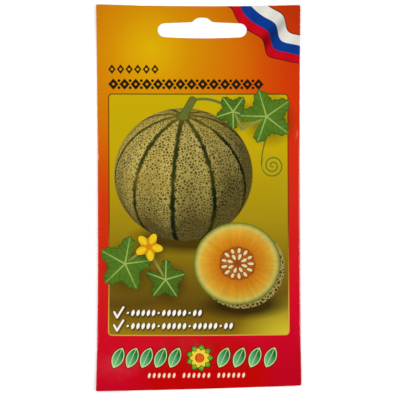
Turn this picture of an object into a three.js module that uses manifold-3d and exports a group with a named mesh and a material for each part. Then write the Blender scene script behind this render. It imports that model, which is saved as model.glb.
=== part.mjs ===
// A paper seed packet with a hanging slot and twelve melon seeds inside, in millimetres.
// It lies on its back: +X is the reader's right, +Y the hanging end, +Z up out of the front.
// The origin is under the middle of the packet, on the surface that it lies on.

import * as THREE from "three";
import { mergeVertices } from "three/addons/utils/BufferGeometryUtils.js";
import Module from "manifold-3d";

const wasm = await Module();
wasm.setup();

// The packet's outline, seen from the front
const packetWidth = 85;
const packetLength = 160;
const cornerRadius = 0.7;
const leftSideHollow = 0.8;
const rightSideHollow = 0.46;
const leftHollowHeight = -22;
const headEdgeDip = 0.55;
const footEdgeRise = 2;
const footEdgeBow = 0.35;

// The paper and how it is folded
const paperThickness = 0.2;
const layerGap = 0.1;
const lapWidth = 12;
const lapEdgeClearance = 0.4;
const stepRun = 1.2;
const foldArcSteps = 5;
const frontPanelSteps = 22;
const backPanelSteps = 4;

// The pouch that the seeds push up
const pouchHeight = 4.2;
const pouchSquareness = 2.6;
const footStripWidth = 5;
const footSlopeLength = 24;
const pouchTop = 42;
const headSlopeLength = 42;
const pouchRowPitch = 5;
const headRowPitch = 12;

// The hanging slot
const slotCentre = { x: 1.6, y: 69.4 };
const slotLength = 37;
const slotEndHeight = 5.8;
const slotMiddleHeight = 6.7;
const bumpHeight = 1.9;
const bumpFlatWidth = 1.6;
const bumpRadius = 3.6;
const bumpShoulderTurn = Math.PI / 4;
const bumpFootRun = 1.6;
const slotArcSteps = 5;

// The seeds
const seedLength = 10.5;
const seedWidth = 4.8;
const seedThickness = 1.8;
const seedTaper = 0.28;
const seedProfileSteps = 9;
const seedSides = 10;
const seedColumns = 4;
const seedRows = 3;
const seedColumnPitch = 13.4;
const seedRowPitch = 12;
const seedBedCentre = { x: 0, y: -37 };
const seedJitter = 0.6;
const seedRandomStart = 20;

const halfWidth = packetWidth / 2;
const halfLength = packetLength / 2;
const halfPaper = paperThickness / 2;
const layerPitch = paperThickness + layerGap;

const lapLevel = halfPaper;
const innerBackLevel = lapLevel + layerPitch;
const frontLevel = lapLevel + layerPitch;
const lapFrontLevel = frontLevel + layerPitch;
const lapEdge = lapWidth - halfWidth;

const printedPaper = new THREE.MeshStandardMaterial({ color: 0xd6621c, roughness: 0.35, metalness: 0 });
const seedCoat = new THREE.MeshStandardMaterial({ color: 0xe6cf9a, roughness: 0.65, metalness: 0 });

// 0 below the start, 1 past the end, and a smooth slope between them
function smoothStep(start, end, value) {
  const t = THREE.MathUtils.clamp((value - start) / (end - start), 0, 1);
  return t * t * (3 - 2 * t);
}

// Height of the front panel over its flat level
function pouchRise(x, y) {
  const across = 1 - Math.pow(Math.min(1, Math.abs(x) / halfWidth), pouchSquareness);
  const footEnd = footStripWidth - halfLength;
  const foot = smoothStep(footEnd, footEnd + footSlopeLength, y);
  const head = 1 - smoothStep(pouchTop - headSlopeLength, pouchTop, y);
  return pouchHeight * across * foot * head;
}

function footEdge(x) {
  const along = x / halfWidth;
  return -halfLength + footEdgeRise * (along + 1) / 2 - footEdgeBow * (1 - along * along);
}

function headEdge(x) {
  const along = x / halfWidth;
  return halfLength - headEdgeDip * (1 - along * along);
}

// How far a side edge stands in from the full width, at a height y and a distance from the nearer end
function sideInset(isLeft, y, endDistance) {
  const hollow = isLeft ? leftSideHollow : rightSideHollow;
  const deepest = isLeft ? leftHollowHeight : 0;
  const reach = halfLength + (y < deepest ? deepest : -deepest);
  const away = (y - deepest) / reach;
  const cornerDepth = Math.max(0, cornerRadius - endDistance);
  const corner = cornerRadius - Math.sqrt(cornerRadius ** 2 - cornerDepth ** 2);
  return hollow * Math.max(0, 1 - away * away) + corner;
}

// Straight ramp of one layer's height, from its low end at x = start to stepRun further left
function lapStep(x, start) {
  return layerPitch * THREE.MathUtils.clamp((start - x) / stepRun, 0, 1);
}

function foldArc(centreX, lowLevel, highLevel, isLeft) {
  const radius = (highLevel - lowLevel) / 2;
  const points = [];
  for (let i = 0; i <= foldArcSteps; i += 1) {
    const turn = Math.PI * i / foldArcSteps;
    const outward = radius * Math.sin(turn);
    const upward = radius * Math.cos(turn);
    points.push({
      x: centreX + (isLeft ? -outward : outward),
      z: radius + lowLevel + (isLeft ? -upward : upward),
      rises: false,
    });
  }
  return points;
}

// The middle of the paper's thickness, from the lap's free edge round the packet to the back panel's free edge
function sheetMidLine() {
  const leftFoldX = -halfWidth + halfPaper + layerPitch;
  const rightFoldX = halfWidth - halfPaper - layerPitch / 2;
  const backStepStart = lapEdge + lapEdgeClearance + stepRun;
  const frontStepStart = backStepStart + lapEdgeClearance;
  const points = [];
  points.push({ x: lapEdge, z: lapLevel, rises: false });
  points.push({ x: (lapEdge + leftFoldX) / 2, z: lapLevel, rises: false });
  points.push(...foldArc(leftFoldX, lapLevel, lapFrontLevel, true));

  const frontColumns = [];
  for (let i = 1; i < frontPanelSteps; i += 1) {
    frontColumns.push(THREE.MathUtils.lerp(leftFoldX, rightFoldX, i / frontPanelSteps));
  }
  frontColumns.push(frontStepStart, frontStepStart - stepRun);
  frontColumns.sort((a, b) => a - b);
  for (const x of frontColumns) {
    points.push({ x, z: frontLevel + lapStep(x, frontStepStart), rises: true });
  }

  points.push(...foldArc(rightFoldX, lapLevel, frontLevel, false));
  for (let i = 1; i < backPanelSteps; i += 1) {
    const x = THREE.MathUtils.lerp(rightFoldX, backStepStart, i / backPanelSteps);
    points.push({ x, z: lapLevel, rises: false });
  }
  points.push({ x: backStepStart, z: lapLevel, rises: false });
  points.push({ x: backStepStart - stepRun, z: innerBackLevel, rises: false });
  points.push({ x: leftFoldX + layerGap, z: innerBackLevel, rises: false });
  return points;
}

// Distances of the cross-sections from the foot edge, closer together round the corners
function sectionStations() {
  const corner = [0, 0.15, 0.35, 1].map((part) => part * cornerRadius);
  const stations = [...corner];
  const pouchEnd = halfLength + pouchTop;
  for (let d = footStripWidth; d <= pouchEnd; d += pouchRowPitch) {
    stations.push(d);
  }
  for (let d = pouchEnd + headRowPitch; d < packetLength - cornerRadius; d += headRowPitch) {
    stations.push(d);
  }
  stations.push(...corner.map((d) => packetLength - d).reverse());
  return stations;
}

// One cross-section of the paper: its outer side, then its inner side back to the start
function sectionRing(midLine, station) {
  const share = station / packetLength;
  const endDistance = Math.min(station, packetLength - station);
  const middle = midLine.map((point) => {
    const y = station - halfLength;
    const inset = sideInset(point.x < 0, y, endDistance);
    const x = point.x * (halfWidth - inset) / halfWidth;
    const rise = point.rises ? pouchRise(x, y) : 0;
    return new THREE.Vector3(x, THREE.MathUtils.lerp(footEdge(x), headEdge(x), share), point.z + rise);
  });
  const outer = [];
  const inner = [];
  middle.forEach((point, i) => {
    const before = middle[Math.max(0, i - 1)];
    const after = middle[Math.min(middle.length - 1, i + 1)];
    const side = new THREE.Vector3(before.z - after.z, 0, after.x - before.x).setLength(halfPaper);
    outer.push(point.clone().add(side));
    inner.push(point.clone().sub(side));
  });
  return [...outer, ...inner.reverse()];
}

// A closed skin through rings of equal length, with both ends filled across the paper's thickness
function loftedSheet(rings) {
  const ringSize = rings[0].length;
  const positions = rings.flat().flatMap((point) => point.toArray());
  const indices = [];
  for (let ring = 0; ring < rings.length - 1; ring += 1) {
    for (let i = 0; i < ringSize; i += 1) {
      const a = ring * ringSize + i;
      const b = ring * ringSize + (i + 1) % ringSize;
      indices.push(a, b, b + ringSize);
      indices.push(a, b + ringSize, a + ringSize);
    }
  }
  const lastRing = (rings.length - 1) * ringSize;
  for (let i = 0; i < ringSize / 2 - 1; i += 1) {
    const far = ringSize - 1 - i;
    indices.push(i, far, far - 1);
    indices.push(i, far - 1, i + 1);
    indices.push(lastRing + i, lastRing + far - 1, lastRing + far);
    indices.push(lastRing + i, lastRing + i + 1, lastRing + far - 1);
  }
  const geometry = new THREE.BufferGeometry();
  geometry.setAttribute("position", new THREE.Float32BufferAttribute(positions, 3));
  geometry.setIndex(indices);
  return geometry;
}

// Rounded slot outline about its own centre, with a flat-topped bump in the middle of its upper edge
function slotOutline() {
  const endRadius = slotEndHeight / 2;
  const endX = slotLength / 2 - endRadius;
  const middleY = slotMiddleHeight / 2;
  const bow = 2 * middleY - endRadius;
  const flatX = bumpFlatWidth / 2;
  const bumpCentreY = middleY + bumpHeight - bumpRadius;
  const shoulderX = flatX + bumpRadius * Math.sin(bumpShoulderTurn);
  const shoulderY = bumpCentreY + bumpRadius * Math.cos(bumpShoulderTurn);
  const bendX = shoulderX + (shoulderY - middleY) / Math.tan(bumpShoulderTurn);
  const footX = shoulderX + bumpFootRun;
  const quarter = Math.PI / 2;
  const shape = new THREE.Shape();
  shape.moveTo(-endX, -endRadius);
  shape.quadraticCurveTo(0, -bow, endX, -endRadius);
  shape.absarc(endX, 0, endRadius, -quarter, quarter, false);
  shape.lineTo(footX, middleY);
  shape.quadraticCurveTo(bendX, middleY, shoulderX, shoulderY);
  shape.absarc(flatX, bumpCentreY, bumpRadius, quarter - bumpShoulderTurn, quarter, false);
  shape.absarc(-flatX, bumpCentreY, bumpRadius, quarter, quarter + bumpShoulderTurn, false);
  shape.quadraticCurveTo(-bendX, middleY, -footX, middleY);
  shape.lineTo(-endX, endRadius);
  shape.absarc(-endX, 0, endRadius, quarter, 3 * quarter, false);
  return shape;
}

function slotPunch() {
  const depth = 4 * layerPitch;
  const punch = new THREE.ExtrudeGeometry(slotOutline(), {
    depth,
    curveSegments: slotArcSteps,
    bevelEnabled: false,
  });
  punch.translate(slotCentre.x, slotCentre.y, -layerPitch);
  return punch;
}

function solidFrom(geometry) {
  const bare = geometry.clone();
  bare.deleteAttribute("normal");
  bare.deleteAttribute("uv");
  const merged = mergeVertices(bare, 1e-5);
  return new wasm.Manifold(new wasm.Mesh({
    numProp: 3,
    vertProperties: new Float32Array(merged.attributes.position.array),
    triVerts: new Uint32Array(merged.index.array),
  }));
}

function geometryFrom(solid) {
  const mesh = solid.getMesh();
  const geometry = new THREE.BufferGeometry();
  geometry.setAttribute("position", new THREE.BufferAttribute(new Float32Array(mesh.vertProperties), 3));
  geometry.setIndex(new THREE.BufferAttribute(new Uint32Array(mesh.triVerts), 1));
  geometry.computeVertexNormals();
  return geometry;
}

function packetPaper() {
  const midLine = sheetMidLine();
  const rings = sectionStations().map((station) => sectionRing(midLine, station));
  const sheet = solidFrom(loftedSheet(rings));
  const mesh = new THREE.Mesh(geometryFrom(sheet.subtract(solidFrom(slotPunch()))), printedPaper);
  mesh.name = "packet_paper";
  return mesh;
}

// Flattened teardrop along Y, with its narrow end at +Y and its middle at the origin
function seedGeometry() {
  const profile = [];
  for (let i = 0; i <= seedProfileSteps; i += 1) {
    const turn = Math.PI * i / seedProfileSteps;
    const taper = 1 + seedTaper * Math.cos(turn);
    const radius = i === seedProfileSteps ? 0 : Math.sin(turn) * taper;
    profile.push(new THREE.Vector2(radius, -seedLength / 2 * Math.cos(turn)));
  }
  const seed = new THREE.LatheGeometry(profile, seedSides);
  seed.computeBoundingBox();
  const size = seed.boundingBox.getSize(new THREE.Vector3());
  seed.scale(seedWidth / size.x, 1, seedThickness / size.z);
  return seed;
}

// A small repeatable random number generator, giving numbers from 0 to 1
function seededRandom(start) {
  const multiplier = 1664525;
  const increment = 1013904223;
  const modulus = 2 ** 32;
  let state = start;
  return () => {
    state = (state * multiplier + increment) % modulus;
    return state / modulus;
  };
}

function seeds() {
  const random = seededRandom(seedRandomStart);
  const bedLevel = paperThickness + layerGap;
  const meshes = [];
  for (let row = 0; row < seedRows; row += 1) {
    for (let column = 0; column < seedColumns; column += 1) {
      const mesh = new THREE.Mesh(seedGeometry(), seedCoat);
      const columnShift = column - (seedColumns - 1) / 2;
      const rowShift = row - (seedRows - 1) / 2;
      mesh.position.set(
        seedBedCentre.x + seedColumnPitch * columnShift + seedJitter * (2 * random() - 1),
        seedBedCentre.y + seedRowPitch * rowShift + seedJitter * (2 * random() - 1),
        bedLevel + seedThickness / 2,
      );
      mesh.rotation.z = 2 * Math.PI * random();
      mesh.name = `seed_${String(meshes.length + 1).padStart(2, "0")}`;
      meshes.push(mesh);
    }
  }
  return meshes;
}

const packet = new THREE.Group();
packet.add(packetPaper());
packet.add(...seeds());

export default packet;
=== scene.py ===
import math

import bmesh
import bpy
import numpy as np
from mathutils import Matrix


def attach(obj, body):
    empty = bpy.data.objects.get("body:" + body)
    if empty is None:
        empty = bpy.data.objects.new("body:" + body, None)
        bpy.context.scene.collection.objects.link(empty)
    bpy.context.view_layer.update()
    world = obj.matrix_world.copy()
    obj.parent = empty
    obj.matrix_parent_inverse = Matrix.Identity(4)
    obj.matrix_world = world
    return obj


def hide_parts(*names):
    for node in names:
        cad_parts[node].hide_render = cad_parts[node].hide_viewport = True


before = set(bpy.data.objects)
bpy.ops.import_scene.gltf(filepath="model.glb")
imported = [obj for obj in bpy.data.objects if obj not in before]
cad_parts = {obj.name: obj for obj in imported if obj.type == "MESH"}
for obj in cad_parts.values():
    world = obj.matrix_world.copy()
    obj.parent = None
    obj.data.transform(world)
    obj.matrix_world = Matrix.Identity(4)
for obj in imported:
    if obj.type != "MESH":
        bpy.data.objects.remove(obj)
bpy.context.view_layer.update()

# A printed paper seed packet, lying on its back. Sizes are in millimetres unless a note says otherwise.
mm = 0.001
bpy.context.scene.view_settings.view_transform = "Standard"


def tint(red, green, blue):
    # a screen colour, 0 to 255, as the linear colour that shader nodes take
    parts = []
    for part in (red, green, blue):
        share = part / 255
        parts.append(share / 12.92 if share <= 0.04045 else ((share + 0.055) / 1.055) ** 2.4)
    return (*parts, 1.0)


class Field:
    # a number, colour or vector that changes over the surface, held as the socket it comes out of
    def __init__(self, graph, socket):
        self.graph = graph
        self.socket = socket

    def __add__(self, other):
        return self.graph.math("ADD", self, other)

    def __radd__(self, other):
        return self.graph.math("ADD", other, self)

    def __sub__(self, other):
        return self.graph.math("SUBTRACT", self, other)

    def __rsub__(self, other):
        return self.graph.math("SUBTRACT", other, self)

    def __mul__(self, other):
        return self.graph.math("MULTIPLY", self, other)

    def __neg__(self):
        return self.graph.math("MULTIPLY", self, -1.0)

    def __abs__(self):
        return self.graph.math("ABSOLUTE", self)

    def least(self, other):
        return self.graph.math("MINIMUM", self, other)

    def most(self, other):
        return self.graph.math("MAXIMUM", self, other)

    def root(self):
        return self.graph.math("SQRT", self)

    def sine(self):
        return self.graph.math("SINE", self)

    def cosine(self):
        return self.graph.math("COSINE", self)

    def wrapped(self, low, high):
        return self.graph.math("WRAP", self, high, low)


class Graph:
    # makes and joins the nodes of one tree
    def __init__(self, tree):
        self.nodes = tree.nodes
        self.links = tree.links

    def feed(self, socket, value):
        if isinstance(value, Field):
            self.links.new(value.socket, socket)
        else:
            socket.default_value = value

    def math(self, operation, *values, clamp=False):
        node = self.nodes.new("ShaderNodeMath")
        node.operation = operation
        node.use_clamp = clamp
        for socket, value in zip(node.inputs, values):
            self.feed(socket, value)
        return Field(self, node.outputs[0])

    def vector(self, x, y, z=0.0):
        node = self.nodes.new("ShaderNodeCombineXYZ")
        for socket, value in zip(node.inputs, (x, y, z)):
            self.feed(socket, value)
        return Field(self, node.outputs[0])

    def motif(self, draw, colour, x, y, *plans):
        # one part of the print as a node group, laid over what is under it
        tree = bpy.data.node_groups.new(draw.__name__, "ShaderNodeTree")
        tree.interface.new_socket("Colour", in_out="INPUT", socket_type="NodeSocketColor")
        for name in "XY":
            tree.interface.new_socket(name, in_out="INPUT", socket_type="NodeSocketFloat")
        tree.interface.new_socket("Colour", in_out="OUTPUT", socket_type="NodeSocketColor")
        inner = Graph(tree)
        given = inner.nodes.new("NodeGroupInput")
        drawn = draw(inner, *[Field(inner, socket) for socket in given.outputs[:3]], *plans)
        inner.feed(inner.nodes.new("NodeGroupOutput").inputs[0], drawn)
        node = self.nodes.new("ShaderNodeGroup")
        node.node_tree = tree
        for socket, value in zip(node.inputs, (colour, x, y)):
            self.feed(socket, value)
        return Field(self, node.outputs[0])

    def printPlace(self):
        # where a point lies on the unfolded sheet, in millimetres
        node = self.nodes.new("ShaderNodeUVMap")
        node.uv_map = "sheetPlace"
        split = self.nodes.new("ShaderNodeSeparateXYZ")
        self.links.new(node.outputs[0], split.inputs[0])
        return Field(self, split.outputs[0]), Field(self, split.outputs[1])

    def objectPlace(self):
        node = self.nodes.new("ShaderNodeTexCoord")
        return Field(self, node.outputs["Object"])

    def noise(self, place, scale, detail=2.0, rough=0.5):
        node = self.nodes.new("ShaderNodeTexNoise")
        self.feed(node.inputs["Vector"], place)
        node.inputs["Scale"].default_value = scale
        node.inputs["Detail"].default_value = detail
        node.inputs["Roughness"].default_value = rough
        return Field(self, node.outputs[0])

    def cracks(self, place, scale):
        # distance to the nearest border between uneven cells
        node = self.nodes.new("ShaderNodeTexVoronoi")
        node.feature = "DISTANCE_TO_EDGE"
        self.feed(node.inputs["Vector"], place)
        node.inputs["Scale"].default_value = scale
        return Field(self, node.outputs[0])

    def ramp(self, value, stops):
        node = self.nodes.new("ShaderNodeValToRGB")
        low, high = stops[0][0], stops[-1][0]
        elements = node.color_ramp.elements
        while len(elements) < len(stops):
            elements.new(0.5)
        for element, (place, colour) in zip(elements, stops):
            element.position = (place - low) / (high - low)
            element.color = colour
        self.feed(node.inputs[0], self.math("DIVIDE", value - low, high - low))
        return Field(self, node.outputs[0])

    def over(self, under, colour, mask):
        # colour laid over what is under it, where the mask is 1
        node = self.nodes.new("ShaderNodeMix")
        node.data_type = "RGBA"
        self.feed(node.inputs["Factor"], mask)
        self.feed(node.inputs["A"], under)
        self.feed(node.inputs["B"], colour)
        return Field(self, node.outputs["Result"])

    def shaded(self, colour, light):
        # a colour made lighter or darker by a number round 1
        node = self.nodes.new("ShaderNodeVectorMath")
        node.operation = "SCALE"
        self.feed(node.inputs[0], colour if isinstance(colour, Field) else colour[:3])
        self.feed(node.inputs["Scale"], light)
        return Field(self, node.outputs[0])

    def share(self, value, slope, start):
        # a straight line of the value, held between 0 and 1
        return self.math("MULTIPLY_ADD", value, slope, start, clamp=True)

    def inside(self, distance, blur=0.16):
        # 1 where a signed distance is below zero, with a soft border
        return self.share(distance, -1 / blur, 0.5)

    def length(self, x, y):
        return (x * x + y * y).root()

    def spread(self, x, y, centre, radii):
        # 0 in the middle of an ellipse and 1 on its line
        (centreX, centreY), (wide, high) = centre, radii
        return self.length((x - centreX) * (1 / wide), (y - centreY) * (1 / high))

    def turned(self, x, y, angle):
        c, s = math.cos(angle), math.sin(angle)
        return x * c + y * s, y * c - x * s

    def polar(self, x, y):
        # distance and direction from the middle
        return self.length(x, y), self.math("ARCTAN2", y, x)

    def bump(self, height, distance, strength):
        node = self.nodes.new("ShaderNodeBump")
        node.inputs["Strength"].default_value = strength
        node.inputs["Distance"].default_value = distance
        self.feed(node.inputs["Height"], height)
        return Field(self, node.outputs[0])

    def cell(self, x, start, pitch, count):
        # a repeat's own coordinate, 0 in the middle of each cell, and the cell's number in the row
        number = self.math("FLOOR", (x - start) * (1 / pitch)).most(0.0).least(count - 1.0)
        return x - start - (number + 0.5) * pitch, number


class Finish(Graph):
    # the tree of a material, with its shader
    def __init__(self, name):
        self.material = bpy.data.materials.new(name)
        self.material.use_nodes = True
        super().__init__(self.material.node_tree)
        self.shader = self.nodes["Principled BSDF"]


# the folded sheet of paper
sheetPlan = {
    "width": 85.0,
    "length": 160.0,
    "cornerRadius": 0.7,
    "cornerRows": (0, 0.08, 0.2, 0.4, 0.7),  # shares of the corner radius
    "leftHollow": 0.8,  # how far the side edges bend in
    "leftHollowAt": -22.0,
    "rightHollow": 0.46,
    "headDip": 0.55,
    "footRise": 2.0,
    "footBow": 0.35,
    "paper": 0.12,  # thickness
    "layerGap": 0.02,
    "lap": 12.0,
    "lapClearance": 0.4,
    "stepRun": 1.2,
    "foldOpening": 0.1,
    "columnPitch": 0.8,
    "backColumnPitch": 1.6,
    "rowPitch": 0.95,
    "nearFold": (0.08, 0.3),
    "foldSteps": 6,
}

# how the front panel stands up over the seeds
pouchPlan = {
    "height": 3.75,
    "squareness": 2.3,
    "footStrip": 5.0,
    "footSlope": 24.0,
    "top": 42.0,
    "headSlope": 42.0,
    "unevenness": 0.16,
    "drift": [(1.0, 0.19, 0.11, 1.1), (0.7, 0.13, -0.23, 2.3), (0.5, 0.41, 0.07, 0.0)],
    "puckerDepth": 0.14,
    "puckerPitch": 6.6,
    "puckerAt": (-66, 6),
    "puckerSwing": 1.2,
    "puckerSwingPitch": 0.21,
    "headPucker": {"share": 1.2, "pitchShare": 1.9, "phase": 0.9, "at": (24, 11)},
    "blister": 0.48,
    "blisterAt": (38.9, 26.5),
    "blisterHalf": {"left": 0.9, "right": 2.4, "along": 4.4},
    "seamAt": -72.2,
    "seamDepth": 0.08,
    "seamWidth": 0.7,
    "seamSwing": {"size": 0.4, "pitch": 0.11, "phase": 0.6},
    "cornerLift": 0.5,
    "cornerFrom": (22, 56),
}

# the hanging slot
slotPlan = {
    "centre": (1.6, 69.4),
    "length": 37.0,
    "endHeight": 5.8,
    "middleHeight": 6.7,
    "bumpHeight": 1.9,
    "bumpFlat": 1.6,
    "bumpRadius": 3.6,
    "bumpTurn": math.pi / 4,
    "bumpFootRun": 1.6,
    "arcSteps": 14,
    "samePoint": 1e-4,
    "punch": (-2, 4),
}

# where each part of the sheet lies on a square picture of the finish
bakePlan = {
    "sheetEdges": (0.004, 0.05, 0.64, 0.955),
    "foot": 0.01,
    "length": 0.98,
    "inside": {"from": 0.965, "width": 0.02},
    "cuts": {"from": 0.99, "width": 0.006},
}
halfWidth = sheetPlan["width"] / 2
halfLength = sheetPlan["length"] / 2


def smooth(start, end, value):
    t = np.clip((value - start) / (end - start), 0, 1)
    return t * t * (3 - 2 * t)


def bell(value, centre, width):
    return np.exp(-((value - centre) / width) ** 2)


def pouchShare(y):
    # how far the pouch stands open at a height: 0 at the glued ends, 1 in the middle
    p = pouchPlan
    footEnd = p["footStrip"] - halfLength
    foot = smooth(footEnd, footEnd + p["footSlope"], y)
    return foot * (1 - smooth(p["top"] - p["headSlope"], p["top"], y))


def frontRise(x, y):
    # height of the front panel over its folded level, with the paper's own unevenness
    p = pouchPlan
    across = 1 - np.clip(np.abs(x) / halfWidth, 0, 1) ** p["squareness"]
    edge = np.clip(1 - (x / halfWidth) ** 2, 0, 1)
    opened = pouchShare(y)
    rise = p["height"] * across * opened
    drift = sum(size * np.sin(turnX * x + turnY * y + phase) for size, turnX, turnY, phase in p["drift"])
    rise += p["unevenness"] * drift * opened * across

    swing = p["puckerSwing"] * np.sin(p["puckerSwingPitch"] * x)
    pucker = np.sin(2 * math.pi * x / p["puckerPitch"] + swing)
    rise += p["puckerDepth"] * pucker * edge * bell(y, *p["puckerAt"])
    head = p["headPucker"]
    slower = np.sin(2 * math.pi * x / (head["pitchShare"] * p["puckerPitch"]) + head["phase"])
    rise += head["share"] * p["puckerDepth"] * slower * edge * bell(y, *head["at"])

    swing = p["seamSwing"]
    seam = p["seamAt"] + swing["size"] * np.sin(swing["pitch"] * x + swing["phase"])
    rise -= p["seamDepth"] * bell(y, seam, p["seamWidth"]) * edge

    (blisterX, blisterY), half = p["blisterAt"], p["blisterHalf"]
    blisterAcross = (x - blisterX) / np.where(x < blisterX, half["left"], half["right"])
    blister = 1 - blisterAcross ** 2 - ((y - blisterY) / half["along"]) ** 2
    return rise + p["blister"] * np.sqrt(np.clip(blister, 0, 1))


def cornerLift(x, y):
    # the stiff corners stand a little off the table
    fromX, fromY = pouchPlan["cornerFrom"]
    far = smooth(fromX, halfWidth, np.abs(x)) * smooth(fromY, halfLength, np.abs(y))
    return pouchPlan["cornerLift"] * far


def footEdge(x):
    along = x / halfWidth
    bow = sheetPlan["footBow"] * (1 - along * along)
    return -halfLength + sheetPlan["footRise"] * (along + 1) / 2 - bow


def headEdge(x):
    along = x / halfWidth
    return halfLength - sheetPlan["headDip"] * (1 - along * along)


def sideHollow(x, y):
    # how far the side edges bend in at a height
    left = x < 0
    hollow = np.where(left, sheetPlan["leftHollow"], sheetPlan["rightHollow"])
    deepest = np.where(left, sheetPlan["leftHollowAt"], 0.0)
    reach = halfLength + np.where(y < deepest, deepest, -deepest)
    return hollow * np.clip(1 - ((y - deepest) / reach) ** 2, 0, 1)


def cornerInset(endDistance):
    r = sheetPlan["cornerRadius"]
    depth = np.clip(r - endDistance, 0, None)
    return r - np.sqrt(r * r - depth * depth)


def sheetStations():
    # distances of the rows from the foot edge, closer together round the corners
    first = sheetPlan["cornerRadius"]
    corner = first * np.array(sheetPlan["cornerRows"])
    last = sheetPlan["length"] - first
    count = round((last - first) / sheetPlan["rowPitch"]) + 1
    middle = np.linspace(first, last, count)
    return np.concatenate([corner, middle, sheetPlan["length"] - corner[::-1]])


def sheetColumns():
    # the sheet's zones in order, from the lap's free edge round to the back panel's free edge
    s = sheetPlan
    lapEdge = s["lap"] - halfWidth
    stepEnd = lapEdge + s["lapClearance"]
    frontCount = round(s["width"] / s["columnPitch"])
    nearFold = np.array(s["nearFold"]) / s["width"]
    backCount = round((halfWidth - stepEnd) / s["backColumnPitch"])
    tuckCount = round(s["lap"] / s["backColumnPitch"])
    return [
        ("lap", np.linspace(0, 1, tuckCount + 1)[:-1]),
        ("leftFold", np.linspace(0, math.pi, s["foldSteps"] + 1)),
        ("front", np.concatenate([nearFold, np.linspace(0, 1, frontCount + 1)[1:-1], 1 - nearFold[::-1]])),
        ("rightFold", np.linspace(math.pi, 0, s["foldSteps"] + 1)),
        ("back", np.linspace(0, 1, backCount + 1)[1:]),
        ("tuck", np.linspace(0, 1, tuckCount + 1)),
    ]


def sheetSurface():
    # the middle of the paper's thickness: places, print coordinates, and which column carries which print
    s = sheetPlan
    station = sheetStations()[:, None]
    level = s["paper"] / 2
    pitch = s["paper"] + s["layerGap"]
    lapEdge = s["lap"] - halfWidth
    stepStart = lapEdge + s["lapClearance"] + s["stepRun"]
    rowY = station - halfLength
    opened = pouchShare(rowY)
    leftRadius = pitch + s["foldOpening"] * opened
    rightRadius = pitch / 2 + s["foldOpening"] * opened
    leftFoldX = -(halfWidth - level - leftRadius)
    rightFoldX = halfWidth - level - rightRadius
    xs, zs, us, kinds = [], [], [], []
    for zone, t in sheetColumns():
        t = t[None, :]
        if zone == "lap":
            x = lapEdge + (leftFoldX - lapEdge) * t
            z = level + 0 * x
            u = -2 * halfWidth - x
        elif zone == "leftFold":
            x = leftFoldX - leftRadius * np.sin(t)
            z = level + leftRadius * (1 - np.cos(t))
            u = -halfWidth + leftRadius * (t - math.pi / 2)
        elif zone == "front":
            x = leftFoldX + (rightFoldX - leftFoldX) * t
            glued = smooth(stepStart + s["stepRun"], stepStart - s["stepRun"], x)
            high = glued * (1 - opened) + (1 - t) * opened
            z = level + 2 * (rightRadius + (leftRadius - rightRadius) * high)
            u = x
        elif zone == "rightFold":
            x = rightFoldX + rightRadius * np.sin(t)
            z = level + rightRadius * (1 - np.cos(t))
            u = halfWidth - rightRadius * (t - math.pi / 2)
        elif zone == "back":
            x = rightFoldX + (stepStart - rightFoldX) * t
            z = level + 0 * x
            u = 2 * halfWidth - x
        else:
            start = stepStart - s["stepRun"]
            x = start + (leftFoldX + s["layerGap"] - start) * t
            z = level + pitch + 0 * x
            u = 2 * halfWidth - x
        xs.append(x)
        zs.append(z)
        us.append(u)
        kinds += [zone] * t.shape[1]
    x, z, u = np.hstack(xs), np.hstack(zs), np.hstack(us)
    isFront = np.array([kind == "front" for kind in kinds])
    inset = sideHollow(x, rowY) + cornerInset(np.minimum(station, s["length"] - station))
    x = x * (halfWidth - inset) / halfWidth
    y = footEdge(x) + (headEdge(x) - footEdge(x)) * station / s["length"]
    z = z + np.where(isFront, frontRise(x, y), 0) + cornerLift(x, y)
    return np.stack([x, y, z], axis=-1), u, kinds


def gridFaces(rows, columns, start, flip):
    r, c = np.meshgrid(np.arange(rows - 1), np.arange(columns - 1), indexing="ij")
    a = (start + r * columns + c).ravel()
    quads = np.stack([a, a + 1, a + 1 + columns, a + columns], axis=1)
    return quads[:, ::-1] if flip else quads


def edgeFaces(outer, inner, flip):
    # a strip of quads across the paper's thickness, along one cut edge
    quads = np.stack([outer[:-1], inner[:-1], inner[1:], outer[1:]], axis=1)
    return quads[:, ::-1] if flip else quads


def addMaps(mesh, places, bakePlaces):
    for name, values in (("sheetPlace", places), ("OFBake", bakePlaces)):
        layer = mesh.uv_layers.new(name=name)
        layer.data.foreach_set("uv", values.astype(np.float32).ravel())


def bakePlace(u, y):
    # shares of a square picture: the front panel gets the most room, then the back, then the lap
    edges = (-halfWidth - sheetPlan["lap"], -halfWidth, halfWidth, 3 * halfWidth)
    across = np.interp(u, edges, bakePlan["sheetEdges"])
    along = bakePlan["foot"] + bakePlan["length"] * (y + halfLength) / sheetPlan["length"]
    return np.stack([across, along], axis=-1)


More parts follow.
